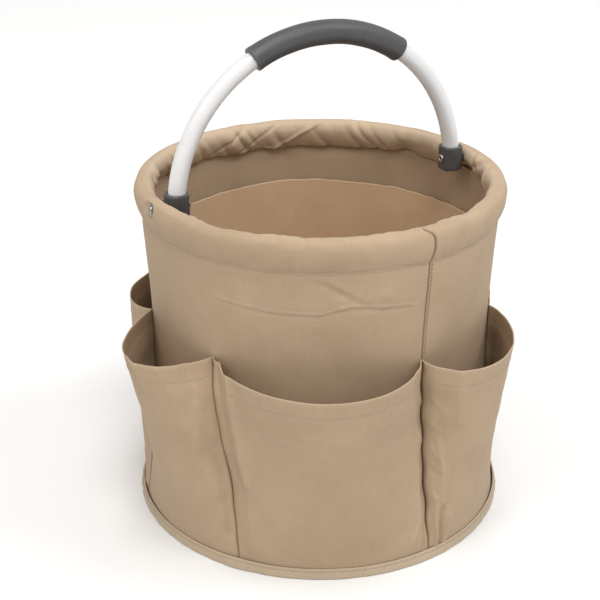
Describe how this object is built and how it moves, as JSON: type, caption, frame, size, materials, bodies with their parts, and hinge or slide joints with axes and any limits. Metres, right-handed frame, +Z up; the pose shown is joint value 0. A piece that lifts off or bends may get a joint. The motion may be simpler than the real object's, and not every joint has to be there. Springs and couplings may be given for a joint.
{
  "type": "tool bucket organizer",
  "caption": "Round cloth tool bucket with a padded hoop rim, a ring of open outer pockets and a swinging tube handle with a foam grip.",
  "frame": {"origin": "centre of the bucket's underside, on the floor", "axes": "+Z up along the bucket's axis; +X and -X along the line between the handle's two rivets; -Y and -X face the two widest stand-off pockets"},
  "size_m": [0.3432, 0.3354, 0.4083],
  "materials": {
    "cloth": "coated plain-weave polyester, tan, matt",
    "lining_cloth": "smooth coated lining, slightly darker tan",
    "tape": "folded edge tape, tan",
    "board": "plain sheet",
    "hoop_metal": "bare tube, hidden in the rim",
    "joiner_plastic": "moulded plug",
    "tube_metal": "smooth white coat, satin",
    "grip_foam": "soft foam sleeve, charcoal",
    "cap_plastic": "moulded, near black",
    "rivet_metal": "nickel-plated, bright"
  },
  "bodies": {
    "bucket": {"wall_panel": "cloth", "rim_casing": "cloth", "rim_hoop": "hoop_metal", "hoop_joiner": "joiner_plastic", "lining": "lining_cloth", "base_cloth": "cloth", "base_board": "board", "base_lining": "lining_cloth", "base_binding": "tape", "front_pocket": "cloth", "right_pocket": "cloth", "back_right_pocket": "cloth", "back_pocket": "cloth", "back_left_pocket": "cloth", "left_pocket": "cloth", "right_rivet": "rivet_metal", "left_rivet": "rivet_metal", "right_washer": "rivet_metal", "left_washer": "rivet_metal"},
    "handle": {"handle_tube": "tube_metal", "handle_grip": "grip_foam", "right_end_cap": "cap_plastic", "left_end_cap": "cap_plastic"}
  },
  "joints": [
    {"name": "handle_swing", "type": "hinge", "parent": "bucket", "child": "handle", "pos_m": [0, 0, 0.2785], "axis": [1, 0, 0], "range_deg": [-90, 90]}
  ]
}
